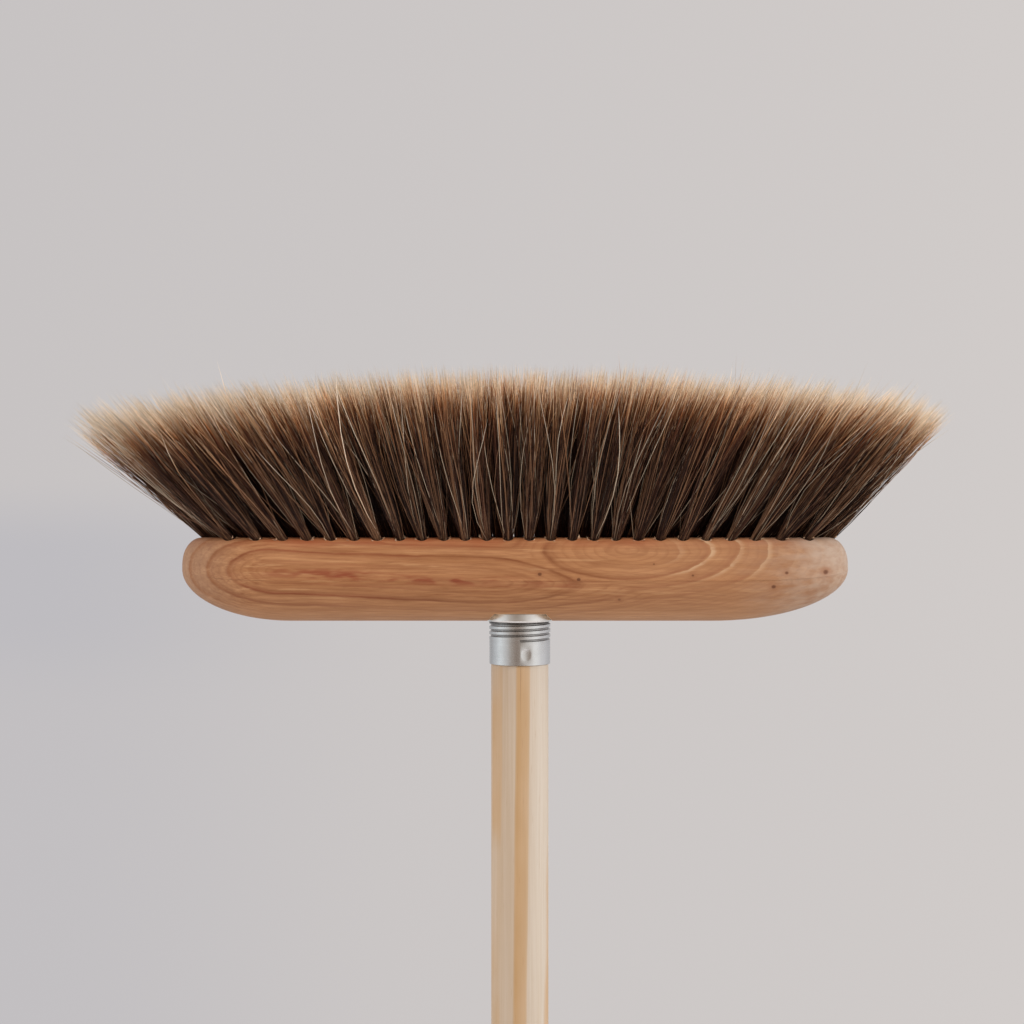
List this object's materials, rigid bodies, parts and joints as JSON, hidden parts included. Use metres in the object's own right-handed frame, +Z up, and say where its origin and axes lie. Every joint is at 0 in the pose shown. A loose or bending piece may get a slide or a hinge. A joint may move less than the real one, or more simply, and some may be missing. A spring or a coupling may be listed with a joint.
{
  "type": "floor broom",
  "caption": "Floor broom with a crowned wooden head, rows of spread horsehair tufts and a round pine handle that screws into the head's back.",
  "frame": {"origin": "centre of the handle's lower end", "axes": "+Z up the handle towards the head and hair, +X along the head, -Y the broad side that faces the viewer"},
  "size_m": [0.3698, 0.086, 1.2907],
  "materials": {
    "handle_wood": "raw sanded pine",
    "ferrule_metal": "satin, fine turned lines",
    "collar_metal": "bright",
    "insert_metal": "plain zinc",
    "stock_wood": "oiled hardwood",
    "anchor_steel": "bright wire",
    "hair_root": "dark horsehair",
    "hair": "horsehair, dark at the base, cream at the tips"
  },
  "bodies": {
    "handle": {"handle": "handle_wood", "ferrule": "ferrule_metal"},
    "collar": {"socket_collar": "collar_metal"},
    "head": {"stock": "stock_wood", "socket_insert": "insert_metal", "tuft_roots_row_1": "hair_root", "tuft_roots_row_2": "hair_root", "tuft_roots_row_3": "hair_root", "tuft_roots_row_4": "hair_root", "tuft_roots_row_5": "hair_root", "tuft_anchors_row_1": "anchor_steel", "tuft_anchors_row_2": "anchor_steel", "tuft_anchors_row_3": "anchor_steel", "tuft_anchors_row_4": "anchor_steel", "tuft_anchors_row_5": "anchor_steel"},
    "hair_row_1": {"bristles_row_1": "hair"},
    "hair_row_2": {"bristles_row_2": "hair"},
    "hair_row_3": {"bristles_row_3": "hair"},
    "hair_row_4": {"bristles_row_4": "hair"},
    "hair_row_5": {"bristles_row_5": "hair"}
  },
  "joints": [
    {"name": "head_travel", "type": "slide", "parent": "handle", "child": "collar", "axis": [0, 0, 1], "range_m": [0, 0.0132]},
    {"name": "head_turn", "type": "hinge", "parent": "collar", "child": "head", "pos_m": [0, 0, 1.2], "axis": [0, 0, 1], "range_deg": [0, 2160]},
    {"name": "hair_bend_1", "type": "hinge", "parent": "head", "child": "hair_row_1", "pos_m": [0, -0.0226, 1.2235], "axis": [1, 0, 0], "range_deg": [-12, 12], "stiffness_Nm_per_rad": 0.5},
    {"name": "hair_bend_2", "type": "hinge", "parent": "head", "child": "hair_row_2", "pos_m": [0, -0.0113, 1.2235], "axis": [1, 0, 0], "range_deg": [-12, 12], "stiffness_Nm_per_rad": 0.5},
    {"name": "hair_bend_3", "type": "hinge", "parent": "head", "child": "hair_row_3", "pos_m": [0, 0, 1.2235], "axis": [1, 0, 0], "range_deg": [-12, 12], "stiffness_Nm_per_rad": 0.5},
    {"name": "hair_bend_4", "type": "hinge", "parent": "head", "child": "hair_row_4", "pos_m": [0, 0.0113, 1.2235], "axis": [1, 0, 0], "range_deg": [-12, 12], "stiffness_Nm_per_rad": 0.5},
    {"name": "hair_bend_5", "type": "hinge", "parent": "head", "child": "hair_row_5", "pos_m": [0, 0.0226, 1.2235], "axis": [1, 0, 0], "range_deg": [-12, 12], "stiffness_Nm_per_rad": 0.5}
  ],
  "couplings": [
    {"joint": "head_turn", "follows": "head_travel", "rad_per_m": 2856},
    {"joint": "hair_bend_1", "follows": "hair_bend_3", "ratio": 1},
    {"joint": "hair_bend_2", "follows": "hair_bend_3", "ratio": 1},
    {"joint": "hair_bend_4", "follows": "hair_bend_3", "ratio": 1},
    {"joint": "hair_bend_5", "follows": "hair_bend_3", "ratio": 1}
  ]
}
